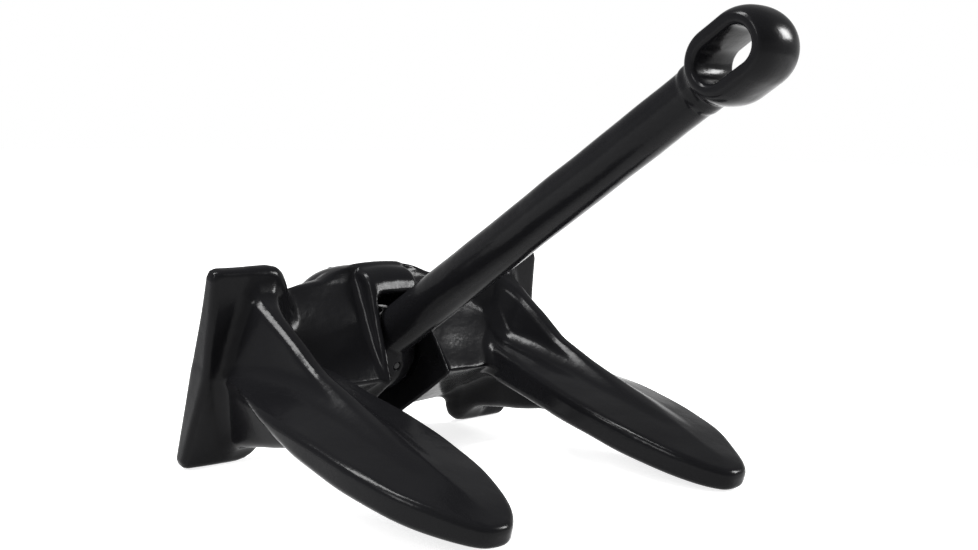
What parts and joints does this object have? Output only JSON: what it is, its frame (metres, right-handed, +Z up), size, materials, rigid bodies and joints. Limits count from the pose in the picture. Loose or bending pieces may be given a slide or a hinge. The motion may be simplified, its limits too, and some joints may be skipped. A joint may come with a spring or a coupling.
{
  "type": "fluke anchor",
  "caption": "Stockless boat anchor in black vinyl-dipped iron: broad leaf flukes and end palms on a wedge crown, and a round shank with a slotted eye that tilts about the crown.",
  "frame": {"origin": "on the ground, under the middle of the bounding box, with the anchor resting on the edges of its two palms and on its two fluke tips", "axes": "+Y points horizontally from the crown to the fluke tips, +Z is up, +X is to the right looking along +Y, along the pivot pin"},
  "size_m": [0.2048, 0.2704, 0.1973],
  "materials": {
    "vinyl": "black plastisol dip, glossy, slightly wavy, thicker in corners",
    "iron": "bare sand casting, under the coat",
    "steel": "plain turned steel"
  },
  "bodies": {
    "head": {"head_casting": "iron", "head_coat": "vinyl", "keeper_pin_left": "steel", "keeper_pin_right": "steel"},
    "shank": {"shank_casting": "iron", "shank_coat": "vinyl", "shank_pin": "steel", "lock_pin": "steel"}
  },
  "joints": [
    {"name": "shank_tilt", "type": "hinge", "parent": "head", "child": "shank", "pos_m": [0, -0.09497, 0.04559], "axis": [1, 0, 0], "range_deg": [-93, 0]}
  ]
}
